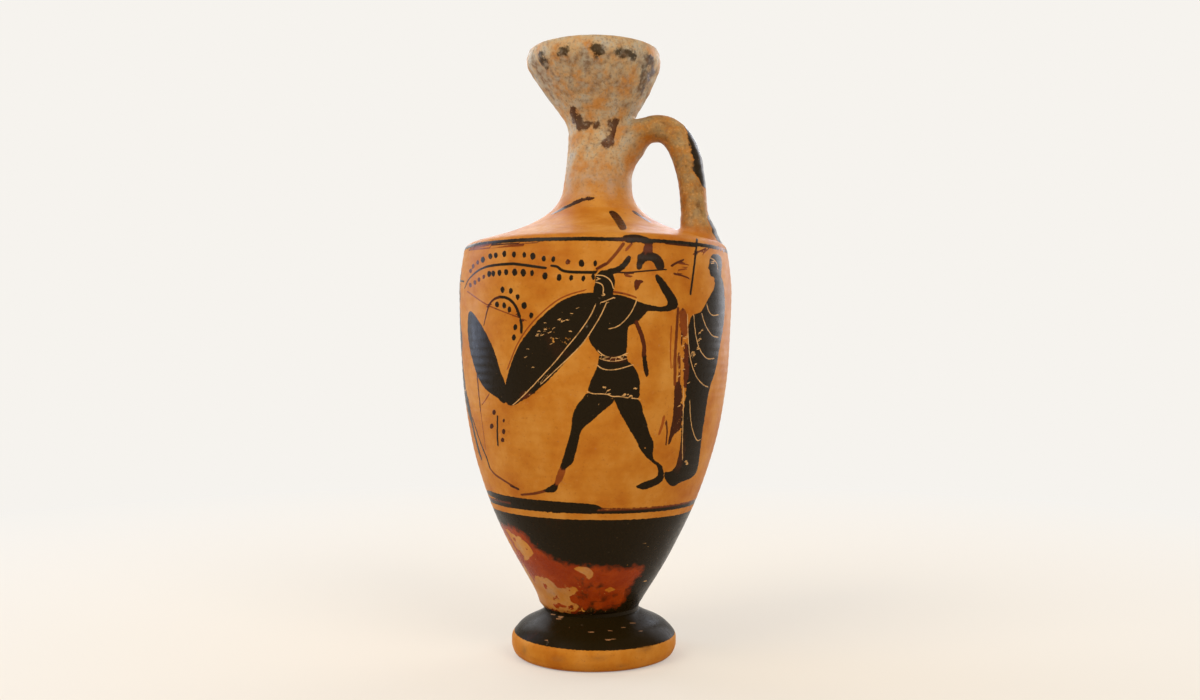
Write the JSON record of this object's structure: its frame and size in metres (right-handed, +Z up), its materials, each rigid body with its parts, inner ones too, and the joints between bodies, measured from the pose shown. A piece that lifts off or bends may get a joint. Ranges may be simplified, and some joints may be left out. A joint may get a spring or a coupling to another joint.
{
  "type": "lekythos",
  "caption": "Ceramic oil flask with a flaring cup mouth, slim neck, strap handle from neck to shoulder, ovoid body on a disc foot, painted with a dark-figure battle frieze.",
  "frame": {"origin": "on the vessel's axis, at the level of the ring that the foot stands on", "axes": "+Z up along the axis on which the vessel was thrown, +X towards the handle"},
  "size_m": [0.09, 0.09, 0.2014],
  "materials": {
    "fired_clay": "bare orange earthenware, burnished and worn",
    "black_gloss_slip": "black gloss slip, soft sheen, worn",
    "luting_slip": "fired liquid clay, matt"
  },
  "bodies": {
    "root": {"foot": "black_gloss_slip", "foot_luting_slip": "luting_slip", "body": "fired_clay", "neck_luting_slip": "luting_slip", "neck_and_mouth": "fired_clay", "handle": "fired_clay", "handle_upper_luting_slip": "luting_slip", "handle_lower_luting_slip": "luting_slip"}
  },
  "joints": []
}
